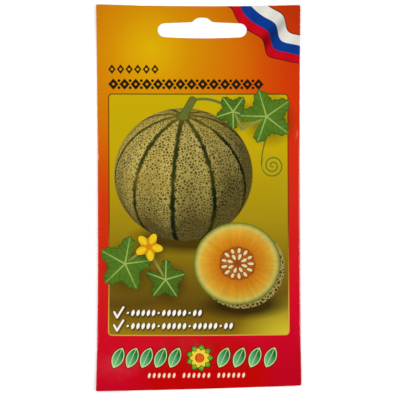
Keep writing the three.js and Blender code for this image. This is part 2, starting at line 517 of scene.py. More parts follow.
def buildSheet(materials):
    middle, u, kinds = sheetSurface()
    rows, columns = u.shape
    alongRow = np.gradient(middle, axis=1)
    alongColumn = np.gradient(middle, axis=0)
    normal = np.cross(alongRow, alongColumn)
    normal /= np.linalg.norm(normal, axis=-1, keepdims=True)
    half = sheetPlan["paper"] / 2
    outer = (middle + normal * half).reshape(-1, 3)
    inner = (middle - normal * half).reshape(-1, 3)
    count = rows * columns
    grid = np.arange(count).reshape(rows, columns)
    printed = gridFaces(rows, columns, 0, False)
    plain = gridFaces(rows, columns, count, True)
    cuts = np.concatenate([
        edgeFaces(grid[0], grid[0] + count, False),
        edgeFaces(grid[-1], grid[-1] + count, True),
        edgeFaces(grid[:, 0], grid[:, 0] + count, True),
        edgeFaces(grid[:, -1], grid[:, -1] + count, False),
    ])
    faces = np.concatenate([printed, plain, cuts])
    mesh = bpy.data.meshes.new("packetPaper")
    mesh.from_pydata((np.concatenate([outer, inner]) * mm).tolist(), [], faces.tolist())
    for material in materials:
        mesh.materials.append(material)

    onBack = np.array([kind in ("back", "tuck") for kind in kinds])
    columnOf = np.tile(np.arange(columns - 1), rows - 1)
    index = np.full(len(faces), 2)
    index[:len(printed)] = np.where(onBack[columnOf + 1], 1, 0)
    mesh.polygons.foreach_set("material_index", index)

    corner = faces.ravel() % count
    place = np.stack([u.ravel()[corner], middle[..., 1].ravel()[corner]], axis=-1)
    bake = bakePlace(place[:, 0], place[:, 1])
    inside, cutEdges = bakePlan["inside"], bakePlan["cuts"]
    plainCorners = slice(4 * len(printed), 4 * (len(printed) + len(plain)))
    bake[plainCorners, 0] = inside["from"] + inside["width"] * (corner[plainCorners] % columns) / columns
    cutCorners = slice(4 * (len(printed) + len(plain)), None)
    bake[cutCorners, 0] = cutEdges["from"] + cutEdges["width"] * (faces.ravel()[cutCorners] >= count)
    addMaps(mesh, place, bake)
    sheet = bpy.data.objects.new("packetPaper", mesh)
    bpy.context.scene.collection.objects.link(sheet)
    return sheet


def arcPoints(centreX, centreY, radius, start, end):
    turns = np.linspace(start, end, slotPlan["arcSteps"])
    return [(centreX + radius * math.cos(t), centreY + radius * math.sin(t)) for t in turns]


def bendPoints(start, bend, end):
    # a quadratic curve, like a pencil line bent towards one point
    points = []
    for t in np.linspace(0, 1, slotPlan["arcSteps"]):
        across, along = (1 - t) ** 2, t ** 2
        middle = 1 - across - along
        points.append(tuple(across * a + middle * b + along * c for a, b, c in zip(start, bend, end)))
    return points


def slotOutline():
    s = slotPlan
    endRadius = s["endHeight"] / 2
    endX = s["length"] / 2 - endRadius
    middleY = s["middleHeight"] / 2
    flatX = s["bumpFlat"] / 2
    bumpY = middleY + s["bumpHeight"] - s["bumpRadius"]
    shoulderX = flatX + s["bumpRadius"] * math.sin(s["bumpTurn"])
    shoulderY = bumpY + s["bumpRadius"] * math.cos(s["bumpTurn"])
    bendX = shoulderX + (shoulderY - middleY) / math.tan(s["bumpTurn"])
    footX = shoulderX + s["bumpFootRun"]
    up = math.pi / 2
    outline = bendPoints((-endX, -endRadius), (0, endRadius - 2 * middleY), (endX, -endRadius))
    outline += arcPoints(endX, 0, endRadius, -up, up)
    outline += bendPoints((footX, middleY), (bendX, middleY), (shoulderX, shoulderY))
    outline += arcPoints(flatX, bumpY, s["bumpRadius"], up - s["bumpTurn"], up)
    outline += arcPoints(-flatX, bumpY, s["bumpRadius"], up, up + s["bumpTurn"])
    outline += bendPoints((-shoulderX, shoulderY), (-bendX, middleY), (-footX, middleY))
    outline += arcPoints(-endX, 0, endRadius, up, 3 * up)
    kept = [outline[0]]
    for point in outline[1:]:
        if math.dist(point, kept[-1]) > s["samePoint"]:
            kept.append(point)
    if math.dist(kept[0], kept[-1]) < s["samePoint"]:
        kept.pop()
    return [(x + s["centre"][0], y + s["centre"][1]) for x, y in kept]


def punchSlot(sheet, cutMaterial):
    low, high = slotPlan["punch"]
    mesh = bpy.data.meshes.new("punch")
    work = bmesh.new()
    ring = [work.verts.new((x * mm, y * mm, low * mm)) for x, y in slotOutline()]
    foot = work.faces.new(ring)
    top = bmesh.ops.extrude_face_region(work, geom=[foot])
    moved = [part for part in top["geom"] if isinstance(part, bmesh.types.BMVert)]
    bmesh.ops.translate(work, vec=(0, 0, (high - low) * mm), verts=moved)
    bmesh.ops.recalc_face_normals(work, faces=work.faces)
    work.to_mesh(mesh)
    work.free()
    mesh.materials.append(cutMaterial)
    punch = bpy.data.objects.new("punch", mesh)
    bpy.context.scene.collection.objects.link(punch)
    cut = sheet.modifiers.new("slot", "BOOLEAN")
    cut.operation = "DIFFERENCE"
    cut.solver = "EXACT"
    cut.material_mode = "TRANSFER"
    cut.object = punch
    shown = bpy.context.evaluated_depsgraph_get()
    sheet.data = bpy.data.meshes.new_from_object(sheet.evaluated_get(shown))
    sheet.modifiers.clear()
    bpy.data.objects.remove(punch)


# the ground of the front print: colours by distance from the glow
groundStops = [
    (0, tint(221, 175, 0)),
    (9, tint(217, 159, 0)),
    (16, tint(212, 142, 0)),
    (25, tint(209, 127, 0)),
    (38, tint(211, 105, 0)),
    (48, tint(209, 80, 0)),
    (58, tint(209, 58, 2)),
    (70, tint(210, 44, 8)),
    (90, tint(209, 24, 20)),
    (107, tint(208, 6, 33)),
    (120, tint(200, 0, 33)),
    (135, tint(186, 0, 28)),
]
groundPlan = {
    "glow": (-20.0, 61.4),
    "stretch": 0.88,
    "foot": (3.0, -75.0),
    "footSize": (30.0, 19.0),
    "footRed": tint(192, 0, 0),
    "footFade": 3.0,
    "corner": {"at": (52.0, 90.0), "reach": 48.0, "dark": 0.3},
    # painted shade: the print is made darker over the last strip towards the head
    "head": {"from": 62.0, "run": 18.0, "dark": 0.06},
}


def drawGround(g, x, y):
    # yellow glow near the head, through orange to crimson, with purer red in the middle of the foot;
    # darker towards the top right corner, and painted shade darkening the strip along the head
    p = groundPlan
    glowX, glowY = p["glow"]
    colour = g.ramp(g.length(x - glowX, (y - glowY) * p["stretch"]), groundStops)
    foot = g.spread(x, y, p["foot"], p["footSize"])
    colour = g.over(colour, p["footRed"], g.share(foot, -p["footFade"], p["footFade"] + 0.2))
    (cornerX, cornerY), head = p["corner"]["at"], p["head"]
    corner = g.share(g.length(x - cornerX, y - cornerY), -1 / p["corner"]["reach"], 1.0)
    # painted shade: darker over the strip along the head
    edge = g.share(y - head["from"], 1 / head["run"], 0.0)
    return g.shaded(colour, 1.0 - edge * head["dark"] - corner * p["corner"]["dark"])


sashPlan = {
    "lean": (0.652, 0.758),
    "start": 66.44,
    "widths": (3.65, 4.5, 4.7),
    "colours": (tint(196, 4, 24), tint(6, 56, 140), tint(226, 223, 214)),
    "line": tint(64, 10, 6),
    "lineWidth": 0.38,
    "wave": 5.9,
    "waveGrowth": 0.2,
    "wavePitch": 23.7,
    "waveStart": 2.46,
    "skew": 0.575,
    "skewStart": 2.15,
    "end": -42.0,
    "foldShade": 0.66,
    "foldLean": 0.02,
    "ripple": {"along": 0.9, "across": 0.2, "size": 0.05, "light": 0.98},
}


def drawSash(g, colour, x, y):
    # a satin sash in three stripes across the top right corner
    s = sashPlan
    nx, ny = s["lean"]
    along = (x * ny - y * nx).most(s["end"])
    turn = along * (2 * math.pi / s["wavePitch"])
    phase = turn + s["waveStart"] - (turn + s["skewStart"]).sine() * s["skew"]
    across = x * nx + y * ny - phase.sine() * (along * s["waveGrowth"] + s["wave"]) - s["start"]
    width = sum(s["widths"])
    band = abs(across - width / 2) - width / 2
    colour = g.over(colour, s["line"], g.inside(band - s["lineWidth"]))
    steep = (-phase.cosine() - across * s["foldLean"]).most(0.0)
    r = s["ripple"]
    ripple = (along * r["along"] + across * r["across"]).sine() * r["size"] + r["light"]
    fold = ripple - steep * steep * s["foldShade"]
    edge = 0.0
    stripes = s["colours"][0]
    for width, stripe in zip(s["widths"], s["colours"][1:]):
        edge += width
        stripes = g.over(stripes, stripe, g.inside(edge - across))
    return g.over(colour, g.shaded(stripes, fold), g.inside(band))


titlePlan = {
    "ink": tint(34, 22, 8),
    "left": -38.0,
    "rows": [
        {"y": 53.1, "count": 6, "pitch": 3.6, "half": (1.55, 2.0), "hole": 0.6, "dot": 0.0},
        {"y": 46.9, "count": 14, "pitch": 4.68, "half": (2.15, 2.35), "hole": 0.55, "dot": 0.62},
    ],
    "dotRise": 0.62,
}


def drawTitle(g, colour, x, y):
    # two ornament borders of lozenges, the lower one with dots between
    for row in titlePlan["rows"]:
        step = g.cell(x, titlePlan["left"], row["pitch"], row["count"])[0]
        rise = abs(y - row["y"])
        wide, high = row["half"]
        shape = (abs(step) * (1 / wide) + rise * (1 / high) - 1) * (wide * 0.7)
        shape = shape.most(row["hole"] - g.length(step, rise))
        if row["dot"]:
            left = titlePlan["left"] + row["pitch"] / 2
            between = g.cell(x, left, row["pitch"], row["count"] - 1)[0]
            shape = shape.least(g.length(between, rise - high * titlePlan["dotRise"]) - row["dot"])
        colour = g.over(colour, titlePlan["ink"], g.inside(shape))
    return colour


panelPlan = {
    "box": (-37.5, -56.7, 37.3, 42.6),
    "corner": 1.3,
    "topLine": tint(92, 52, 6),
    "footLine": tint(214, 172, 60),
    "lineWidth": 0.42,
    "stops": [
        (-58, tint(150, 118, 14)),
        (-46, tint(96, 72, 12)),
        (-30, tint(124, 100, 14)),
        (-8, tint(166, 140, 12)),
        (20, tint(194, 166, 4)),
        (44, tint(198, 170, 2)),
    ],
    "drift": 14,
    "driftScale": (0.02, 0.035),
    "glow": tint(208, 190, 44),
    "glowAt": (38, -60),
    "glowScale": (0.05, 0.06),
    "lineChange": -30.0,
    "lineRun": 40.0,
}


def boxDistance(g, x, y, box, corner):
    left, low, right, high = box
    dx = abs(x - (left + right) / 2) - ((right - left) / 2 - corner)
    dy = abs(y - (low + high) / 2) - ((high - low) / 2 - corner)
    outside = g.length(dx.most(0.0), dy.most(0.0))
    return outside + dx.most(dy).least(0.0) - corner


def drawPanelGround(g, x, y):
    # darker towards the foot, with a glow in the right foot corner
    p = panelPlan
    driftX, driftY = p["driftScale"]
    drift = g.noise(g.vector(x * driftX, y * driftY), 1.0, 2.0) * p["drift"] - p["drift"] / 2
    colour = g.ramp(y + drift, p["stops"])
    (glowX, glowY), (scaleX, scaleY) = p["glowAt"], p["glowScale"]
    far = g.length((x - glowX) * scaleX, (y - glowY) * scaleY)
    return g.over(colour, p["glow"], g.share(far, -1.0, 1.2))


melonPlan = {
    "centre": (-6.5, 9.5),
    "radii": (29.0, 27.5),
    "tilt": 0.5,
    "spin": 0.16,
    "furrows": 10,
    "furrowWidth": 1.0,
    "cell": 1.2,
    "net": tint(190, 172, 92),
    "skin": tint(84, 66, 18),
    "blush": tint(170, 142, 36),
    "furrow": tint(24, 42, 14),
    "furrowWander": 2.2,
    "netLine": 0.15,
    "light": (-0.40, 0.46, 0.79),
    "bright": 0.95,
    "ambient": 0.14,
    "darkest": 0.24,
    "crown": 0.07,
    "swell": 0.09,
    "shadow": tint(44, 30, 4),
}


def drawShadow(g, colour, x, y, centre, radii, strength):
    mask = g.share(g.spread(x, y, centre, radii), -2.0, 2.0) * strength
    return g.over(colour, melonPlan["shadow"], mask)


def drawMelon(g, colour, x, y):
    # a whole ribbed melon, its skin covered with a pale net
    m = melonPlan
    (cx, cy), (rx, ry) = m["centre"], m["radii"]
    colour = drawShadow(g, colour, x, y, (cx + 3, cy - ry + 1), (rx * 0.98, 7.5), 0.85)
    u, v = (x - cx) * (1 / rx), (y - cy) * (1 / ry)
    radius = u * u + v * v
    w = (1 - radius).most(0.0).root()
    c, s = math.cos(m["tilt"]), math.sin(m["tilt"])
    up, out = v * c + w * s, w * c - v * s
    turn = g.math("ARCTAN2", u, out) + m["spin"]
    ring = (1 - up * up).most(0.0).root()
    place = g.vector(u * rx, v * ry, w * rx)
    wander = g.noise(place, 0.35, 2.0) - 0.5
    step = math.pi / m["furrows"]
    groove = abs(turn.wrapped(-step, step)) * ring * rx + wander * m["furrowWander"]
    lx, ly, lz = m["light"]
    lit = (u * lx + v * ly + w * lz).most(0.0)
    rib = turn * m["furrows"]
    bulge = rib.sine() * ring * m["swell"] - rib.cosine() * m["crown"]
    light = (lit * m["bright"] + m["ambient"] - bulge).most(m["darkest"])
    web = g.cracks(place, 1 / m["cell"])
    skin = g.over(m["skin"], m["net"], g.inside(web - m["netLine"], 0.2))
    skin = g.over(skin, m["furrow"], g.inside(groove - m["furrowWidth"], 0.9))
    blush = g.noise(place, 0.06, 1.0)
    skin = g.over(skin, m["blush"], g.share(blush, 2.4, -0.9) * 0.4)
    return g.over(colour, g.shaded(skin, light), g.inside((radius.root() - 1) * ry, 0.5))


stemPlan = {
    "foot": (-6.5, 33.4),
    "head": (-2.6, 40.2),
    "radius": 1.35,
    "colour": tint(96, 104, 40),
}


def capsule(g, x, y, start, end, radius):
    # distance to a line of even width with round ends
    dx, dy = end[0] - start[0], end[1] - start[1]
    size = dx * dx + dy * dy
    share = g.share((x - start[0]) * dx + (y - start[1]) * dy, 1 / size, 0.0)
    return g.length(x - start[0] - share * dx, y - start[1] - share * dy) - radius


def drawStem(g, colour, x, y):
    s = stemPlan
    body = capsule(g, x, y, s["foot"], s["head"], s["radius"])
    foot = g.length((x - s["foot"][0]) * 0.6, y - s["foot"][1]) - s["radius"]
    colour = g.over(colour, g.shaded(s["colour"], 0.6), g.inside(body.least(foot) - 0.35, 0.4))
    streak = g.noise(g.vector(x * 2.4, y * 0.5), 1.0, 1.0) * 0.8 + 0.7
    return g.over(colour, g.shaded(s["colour"], streak), g.inside(body.least(foot)))


slicePlan = {
    "centre": (16.0, -27.5),
    "radii": (18.2, 17.0),
    "rindShift": (1.7, -1.5),
    "rindCell": 1.5,
    "rindSkin": tint(66, 52, 16),
    "rindNet": tint(166, 146, 80),
    "rings": [
        (18.0, tint(88, 104, 36)),
        (17.1, tint(166, 166, 70)),
        (16.2, tint(214, 192, 96)),
        (14.6, tint(222, 172, 52)),
        (11.0, tint(218, 142, 26)),
        (7.6, tint(206, 118, 18)),
        (6.9, tint(170, 82, 12)),
        (4.0, tint(206, 104, 24)),
        (0.0, tint(150, 66, 12)),
    ],
    "seedRings": [(5.5, 13, 0.0), (3.0, 8, 0.3)],
    "seed": (0.62, 1.25),
    "seedColour": tint(240, 222, 164),
    "seedEdge": tint(120, 56, 12),
    "hollow": 7.4,
}


def drawSlice(g, colour, x, y):
    # half a melon, face on: rind, pale rim, orange flesh and a hollow with seeds
    s = slicePlan
    (cx, cy), (rx, ry) = s["centre"], s["radii"]
    sx, sy = s["rindShift"]
    colour = drawShadow(g, colour, x, y, (cx + 3, cy - ry), (rx * 1.12, 6.5), 0.9)
    rind = (g.spread(x, y, (cx + sx, cy + sy), s["radii"]) - 1) * ry
    web = g.cracks(g.vector(x, y, 0.0), 1 / s["rindCell"])
    skin = g.over(s["rindSkin"], s["rindNet"], g.inside(web - 0.14, 0.2))
    colour = g.over(colour, skin, g.inside(rind))
    rim = s["rings"][0][0]
    reach, turn = g.polar((x - cx) * (ry / rx), y - cy)
    reach = reach * (rim / ry)
    grain = g.noise(g.vector(turn.cosine() * 9, turn.sine() * 9, reach * 0.12), 1.0, 3.0, 0.6)
    wander = g.noise(g.vector(x * 0.2, y * 0.2), 1.0, 2.0) - 0.5
    edge = g.share(abs((reach - s["hollow"]) * 0.5), -1.0, 1.0)
    stops = [(size, ringTint) for size, ringTint in reversed(s["rings"])]
    flesh = g.ramp(reach + wander * edge * 3, stops)
    flesh = g.shaded(flesh, grain * 0.5 + 0.78 - x * 0.004 + y * 0.003)
    for ringRadius, count, phase in s["seedRings"]:
        span = math.pi / count
        across = (turn + phase).wrapped(-span, span) * ringRadius
        along = reach + wander * 1.2 - ringRadius
        wide, high = s["seed"]
        seed = (g.length(across * (1 / wide), along * (1 / high)) - 1) * wide
        flesh = g.over(flesh, s["seedEdge"], g.inside(seed - 0.3, 0.4))
        flesh = g.over(flesh, g.shaded(s["seedColour"], 0.9 - across * 0.2), g.inside(seed, 0.3))
    return g.over(colour, flesh, g.inside(reach - rim, 0.3))


foliagePlan = {
    "leaves": [
        {"centre": (14.5, 35.5), "size": 7.5, "turn": 2.2, "tone": 0.85, "stalk": 1.02},
        {"centre": (-14.0, -34.0), "size": 8.5, "turn": 5.31, "tone": 0.8, "stalk": 1.75},
    ],
    "bigLeaves": [
        {"centre": (28.5, 33.5), "size": 11.5, "turn": 0.6, "tone": 1.0, "stalk": 1.02},
        {"centre": (-31.0, -27.5), "size": 11.5, "turn": 3.9, "tone": 1.0, "stalk": 1.02},
    ],
    "leaf": tint(84, 122, 34),
    "leafDark": tint(34, 58, 14),
    "vein": tint(172, 190, 96),
    "lobes": 5,
    "lobeMiddle": 0.82,  # of the leaf's size
    "lobeDepth": 0.17,
    "teeth": 25,
    "toothDepth": 0.025,
    "veinHalf": 0.32,
    "stalkHalf": 0.48,
    "vine": {"centre": (1.9, 23.9), "radius": 16.9, "half": 0.6, "left": -2.6, "low": 28.4},
    "vineInk": tint(108, 124, 48),
    "tendril": {"centre": (31.0, 13.0), "pitch": 1.9, "turns": 2.5, "bend": 0.016, "rise": 19.0},
    "tendrilHalf": 0.28,
    "tendrilInk": tint(92, 116, 34),
    "blossom": {"centre": (-21.0, -20.5), "size": 6.0, "turn": 0.8, "heart": 1.5},
    "blossomInks": {
        "petal": tint(250, 206, 30),
        "fold": tint(196, 122, 8),
        "heart": tint(214, 132, 10),
    },
}


def drawLeaf(g, colour, x, y, leaf):
    # soft lobes with a vein down each, and a notch at the stalk
    f = foliagePlan
    (cx, cy), size = leaf["centre"], leaf["size"]
    px, py = g.turned(x - cx, y - cy, leaf["turn"])
    reach, turn = g.polar(px, py)
    teeth = (turn * f["teeth"]).cosine() * f["toothDepth"]
    notch = g.share(abs(turn), 4.0, -11.0) * 0.5
    rim = (turn * f["lobes"]).cosine() * f["lobeDepth"] + f["lobeMiddle"] + teeth - notch
    shape = reach - rim * size
    colour = drawShadow(g, colour, x, y, (cx + 1.2, cy - 1.4), (size * 1.05, size * 1.05), 0.55)
    span = math.pi / f["lobes"]
    ribGap = abs(turn.wrapped(-span, span)) * reach
    vein = ribGap + reach * 0.02 - f["veinHalf"]
    forks = abs((reach * 1.15 - ribGap * 1.5).sine()) * 0.5 - 0.07
    tone = g.noise(g.vector(x * 0.3, y * 0.3), 1.0, 2.0) * 0.5 + 0.75 - ribGap * 0.035
    blade = g.over(f["leaf"], f["leafDark"], g.inside(forks, 0.3) * 0.6)
    blade = g.shaded(blade, tone * leaf["tone"])
    blade = g.over(blade, f["vein"], g.inside(vein, 0.35) * 0.85)
    blade = g.over(blade, f["leafDark"], g.inside(-shape - 0.5, 0.5) * 0.6)
    stalk = capsule(g, px, py, (-size * leaf["stalk"], size * 0.12), (0.0, 0.0), f["stalkHalf"])
    colour = g.over(colour, g.shaded(f["vein"], 0.62 - (py - px) * 0.01), g.inside(stalk, 0.25))
    return g.over(colour, blade, g.inside(shape, 0.25))


def drawVine(g, colour, x, y):
    # from the melon's stem over to the two leaves
    v = foliagePlan["vine"]
    reach = g.length(x - v["centre"][0], y - v["centre"][1]) - v["radius"]
    line = (abs(reach) - v["half"]).most(v["left"] - x).most(v["low"] - y)
    return g.over(colour, g.shaded(foliagePlan["vineInk"], 0.85 + reach * 0.3), g.inside(line, 0.25))


def drawTendril(g, colour, x, y):
    # a spiral, with a bent stalk that leads up from its outer end
    t = foliagePlan["tendril"]
    px, py = x - t["centre"][0], y - t["centre"][1]
    reach, turn = g.polar(px, py)
    winding = (reach + turn * (t["pitch"] / (2 * math.pi))).wrapped(-t["pitch"] / 2, t["pitch"] / 2)
    line = (abs(winding) - foliagePlan["tendrilHalf"]).most(reach - t["pitch"] * t["turns"])
    stalk = abs(px + t["pitch"] * t["turns"] - py * py * t["bend"]) - 0.3
    line = line.least(stalk.most(-py).most(py - t["rise"]))
    return g.over(colour, foliagePlan["tendrilInk"], g.inside(line, 0.25))


def drawBlossom(g, colour, x, y):
    # five petals, folded where they meet
    b, inks = foliagePlan["blossom"], foliagePlan["blossomInks"]
    cx, cy = b["centre"]
    reach, turn = g.polar(x - cx, y - cy)
    petal = (turn * 5 + b["turn"]).cosine()
    shape = reach - (petal * 0.2 + 0.78) * b["size"]
    colour = drawShadow(g, colour, x, y, (cx + 1, cy - 1), (7, 7), 0.5)
    bloom = g.shaded(inks["petal"], petal * 0.12 + 0.86 - reach * 0.01)
    bloom = g.over(bloom, inks["fold"], g.inside(petal + 0.62, 0.3) * 0.7)
    bloom = g.over(bloom, inks["heart"], g.inside(reach - b["heart"], 1.0))
    return g.over(colour, bloom, g.inside(shape, 0.25))


pointsPlan = {
    "ink": tint(250, 246, 236),
    "shade": tint(30, 16, 4),
    "tick": ((-1.9, 0.3), (-0.7, -1.9), (1.9, 2.3)),
    "tickX": -33.5,
    "tickWidth": 0.42,
    "shadeShift": 0.3,
    "left": -30.8,
    "rows": [(-47.7, 15), (-53.1, 21)],  # height and count
    "pitch": 2.15,
    "group": 6.0,
    "half": (0.66, 1.4),
    "dot": 0.45,
    "lean": 0.3,
}


def lens(g, x, y, wide, high):
    # a leaf outline: where two equal circles overlap
    radius = (wide * wide + high * high) / (2 * wide)
    return g.length(abs(x) + (radius - wide), y) - radius


def pointsShape(g, x, y):
    # a tick and a row of leaning seeds in fives, with dots between, on each of two lines
    p = pointsPlan
    start, low, end = p["tick"]
    found = None
    for level, count in p["rows"]:
        rise = y - level
        tick = capsule(g, x - p["tickX"], rise, start, low, p["tickWidth"])
        tick = tick.least(capsule(g, x - p["tickX"], rise, low, end, p["tickWidth"]))
        step, number = g.cell(x - rise * p["lean"], p["left"], p["pitch"], count)
        px, py = g.turned(step + rise * p["lean"], rise, -p["lean"])
        seed = lens(g, px, py, *p["half"])
        gap = (0.5 - number.wrapped(0.0, p["group"]).least(1.0)) * 20
        dot = g.length(step, rise) - p["dot"]
        both = tick.least(seed.most(gap).least(dot.most(-gap)))
        found = both if found is None else found.least(both)
    return found


def drawPoints(g, colour, x, y):
    shift = pointsPlan["shadeShift"]
    shade = pointsShape(g, x - shift, y + shift)
    colour = g.over(colour, pointsPlan["shade"], g.inside(shade - 0.35, 0.9) * 0.75)
    return g.over(colour, pointsPlan["ink"], g.inside(pointsShape(g, x, y)))


footPlan = {
    "y": -66.3,
    "groups": [(-36.6, 5.9, 5), (7.0, 6.5, 4)],  # left end, pitch and count
    "leaf": (2.05, 4.1),
    "lean": 0.42,
    "slant": 0.3,
    "leafDark": tint(8, 112, 52),
    "leafPale": tint(112, 196, 138),
    "spine": tint(206, 226, 150),
    "sideVein": tint(4, 84, 40),
    "rim": tint(228, 226, 150),
    "rimWidth": 0.34,
    "edge": tint(74, 10, 8),
    "edgeWidth": 0.38,
}


def drawFootBand(g, colour, x, y):
    f = footPlan
    wide, high = f["leaf"]
    rise = y - f["y"]
    shape = None
    for start, pitch, count in f["groups"]:
        step = g.cell(x - rise * f["slant"], start, pitch, count)[0]
        px, py = g.turned(step + rise * f["slant"], rise, -f["lean"])
        one = lens(g, px, py, wide, high)
        if shape is None:
            shape, spine, height = one, px, py
        else:
            nearer = g.inside(one - shape, 0.01)
            spine, height = spine + (px - spine) * nearer, height + (py - height) * nearer
            shape = shape.least(one)
    colour = g.over(colour, f["edge"], g.inside(shape - f["rimWidth"] - f["edgeWidth"], 0.3))
    colour = g.over(colour, f["rim"], g.inside(shape - f["rimWidth"], 0.2))
    blade = g.over(f["leafDark"], f["leafPale"], g.share(height + spine * 0.8, -0.16, 0.42))
    side = abs((height * 2.1 - abs(spine) * 2.4).sine()) - 0.12
    blade = g.over(blade, f["spine"], g.inside(abs(spine) - 0.16, 0.2) * 0.8)
    blade = g.over(blade, f["sideVein"], g.inside(side, 0.4) * 0.45)
    return g.over(colour, blade, g.inside(shape))


rosettePlan = {
    "centre": (0.3, -66.4),
    "petals": 9,
    "rings": [
        {
            "turn": 0.0, "at": 3.4, "half": (1.35, 2.2),
            "inner": tint(206, 222, 44), "outer": tint(70, 160, 30),
        },
        {
            "turn": 0.35, "at": 2.5, "half": (1.1, 1.7),
            "inner": tint(246, 214, 60), "outer": tint(190, 208, 40),
        },
    ],
    "line": 0.34,
    "heart": [(0.3, tint(206, 44, 16)), (0.7, tint(240, 120, 30))],
    "heartSize": 1.7,
    "heartEdge": tint(120, 30, 10),
}


def drawRosette(g, colour, x, y):
    # two rings of petals round a speckled heart
    r = rosettePlan
    reach, turn = g.polar(x - r["centre"][0], y - r["centre"][1])
    span = math.pi / r["petals"]
    for ring in r["rings"]:
        across = (turn + ring["turn"]).wrapped(-span, span) * reach
        shape = lens(g, across, reach - ring["at"], *ring["half"])
        colour = g.over(colour, footPlan["edge"], g.inside(shape - r["line"], 0.25))
        petal = g.over(ring["inner"], ring["outer"], g.share(reach, 0.45, -1.2))
        colour = g.over(colour, petal, g.inside(shape))
    heart = g.ramp(g.noise(g.vector(x, y), 1.6, 1.0), r["heart"])
    colour = g.over(colour, r["heartEdge"], g.inside(reach - r["heartSize"] - 0.25))
    return g.over(colour, heart, g.inside(reach - r["heartSize"]))


dotPlan = {
    "y": -73.7,
    "left": -21.6,
    "count": 20,
    "pitch": 2.06,
    "half": (0.52, 1.0),
    "slant": 0.18,
    "group": 7.0,  # every seventh is left out
    "ink": tint(246, 226, 190),
}


def drawDots(g, colour, x, y):
    d = dotPlan
    wide, high = d["half"]
    rise = y - d["y"]
    step, number = g.cell(x - rise * d["slant"], d["left"], d["pitch"], d["count"])
    shape = (g.length(step * (1 / wide), rise * (1 / high)) - 1) * wide
    shape = shape.most(0.5 - (number + 1).wrapped(0.0, d["group"]))
    return g.over(colour, d["ink"], g.inside(shape))


wearPlan = {
    "width": 0.1,
    "raggedness": 0.7,
    "paper": tint(236, 222, 206),
    "strength": 0.75,
}


def drawWear(g, colour, x, y):
    # the coating is rubbed off in specks along the folds
    w = wearPlan
    rub = (g.noise(g.vector(x, y), 0.9, 3.0, 0.7) - 0.6) * w["raggedness"]
    for foldX in (-halfWidth, halfWidth):
        line = abs(x - foldX) - rub - w["width"]
        colour = g.over(colour, w["paper"], g.inside(line, 0.12) * w["strength"])
    return colour


glossPlan = {
    "paper": 0.8,  # how much light the print gives back
    "roughness": 0.14,
    "patchiness": 0.12,
    "specular": 0.35,
    "grain": 0.012,
    "grainStrength": 0.35,
    "scuff": {"at": (-35.0, -69.6), "half": (15.0, 8.0), "ragged": 1.6, "roughness": 0.36},
}


def finishInk(g, colour, x, y):
    # glossy coated paper, with the faint unevenness of ink on fibre and one rubbed patch
    p, scuff = glossPlan, glossPlan["scuff"]
    g.feed(g.shader.inputs["Base Color"], g.shaded(colour, p["paper"]))
    patch = g.noise(g.vector(x, y), 0.35, 3.0, 0.6)
    far = g.spread(x, y, scuff["at"], scuff["half"]) + (patch - 0.5) * scuff["ragged"]
    scuffed = g.share(far, -1.0, 1.0) * scuff["roughness"]
    g.feed(g.shader.inputs["Roughness"], patch * p["patchiness"] + p["roughness"] + scuffed)
    g.shader.inputs["Specular IOR Level"].default_value = p["specular"]
    grain = g.noise(g.vector(x, y), 2.2, 3.0, 0.6)
    g.feed(g.shader.inputs["Normal"], g.bump(grain, p["grain"] * mm, p["grainStrength"]))
    return g.material


def drawPicture(g, colour, x, y):
    # a melon, half a melon and foliage inside a thin frame
    panel = boxDistance(g, x, y, panelPlan["box"], panelPlan["corner"])
    footShare = g.inside(y - panelPlan["lineChange"], panelPlan["lineRun"])
    line = g.over(panelPlan["topLine"], panelPlan["footLine"], footShare)
    colour = g.over(colour, line, g.inside(panel - panelPlan["lineWidth"]))
    picture = drawPanelGround(g, x, y)
    for draw in (drawMelon, drawVine, drawStem, drawTendril, drawSlice):
        picture = g.motif(draw, picture, x, y)
    for leaf in foliagePlan["leaves"]:
        picture = g.motif(drawLeaf, picture, x, y, leaf)
    colour = g.over(colour, picture, g.inside(panel))
    for leaf in foliagePlan["bigLeaves"]:
        colour = g.motif(drawLeaf, colour, x, y, leaf)
    for draw in (drawBlossom, drawPoints):
        colour = g.motif(draw, colour, x, y)
    return colour


def frontPrint():
    g = Finish("frontPrint")
    x, y = g.printPlace()
    colour = drawGround(g, x, y)
    for draw in (drawSash, drawTitle, drawPicture, drawFootBand, drawRosette, drawDots, drawWear):
        colour = g.motif(draw, colour, x, y)
    return finishInk(g, colour, x, y)


# the back print, between a head band and a foot band
backPlan = {
    "ground": tint(243, 234, 208),
    "headEdge": 52.0,
    "headTints": (tint(206, 60, 14), tint(222, 142, 8)),
    "footEdge": -66.0,
    "footTint": tint(196, 22, 30),
    "line": tint(250, 246, 236),
    "middle": -6.0,
    "lineOffset": 1.2,
    "lineHalf": 0.3,
    "rules": {"top": 41.0, "count": 11, "pitch": 3.7, "reach": 30.0, "half": 0.28},
    "ruleInk": tint(120, 110, 96),
    "chart": {"low": -36.0, "rows": 5, "columns": 12, "size": (5.0, 5.6), "start": 2.0, "lag": 1.3},
    "cell": tint(226, 219, 196),
    "cellBusy": tint(152, 186, 98),
    "cellRipe": tint(230, 150, 48),
    "leaf": {"at": (-23.5, -51.0), "half": (3.0, 6.8), "turn": 1.1, "stalk": 3.5},
    "leafInks": {"blade": tint(92, 146, 56), "side": tint(60, 112, 40), "spine": tint(206, 220, 160)},
    "box": (-12.0, -57.5, 30.0, -44.5),
    "boxFill": tint(252, 250, 244),
}


def drawRules(g, colour, x, y):
    # plain rules of uneven length in place of printed lines
    r = backPlan["rules"]
    low = r["top"] - r["count"] * r["pitch"]
    step, number = g.cell(y, low, r["pitch"], r["count"])
    end = (number * 2.3 + 0.7).sine() * 4 + (number * 1.1).sine() * 3 + (r["reach"] - 7.5)
    rule = (abs(step) - r["half"]).most(-r["reach"] - x).most(x - end)
    gap = ((x * 0.43 + number * 1.9).sine() + (x * 0.27 - number * 2.6).sine() - 1.3) * 1.5
    return g.over(colour, backPlan["ruleInk"], g.inside(rule.most(gap), 0.12) * 0.85)


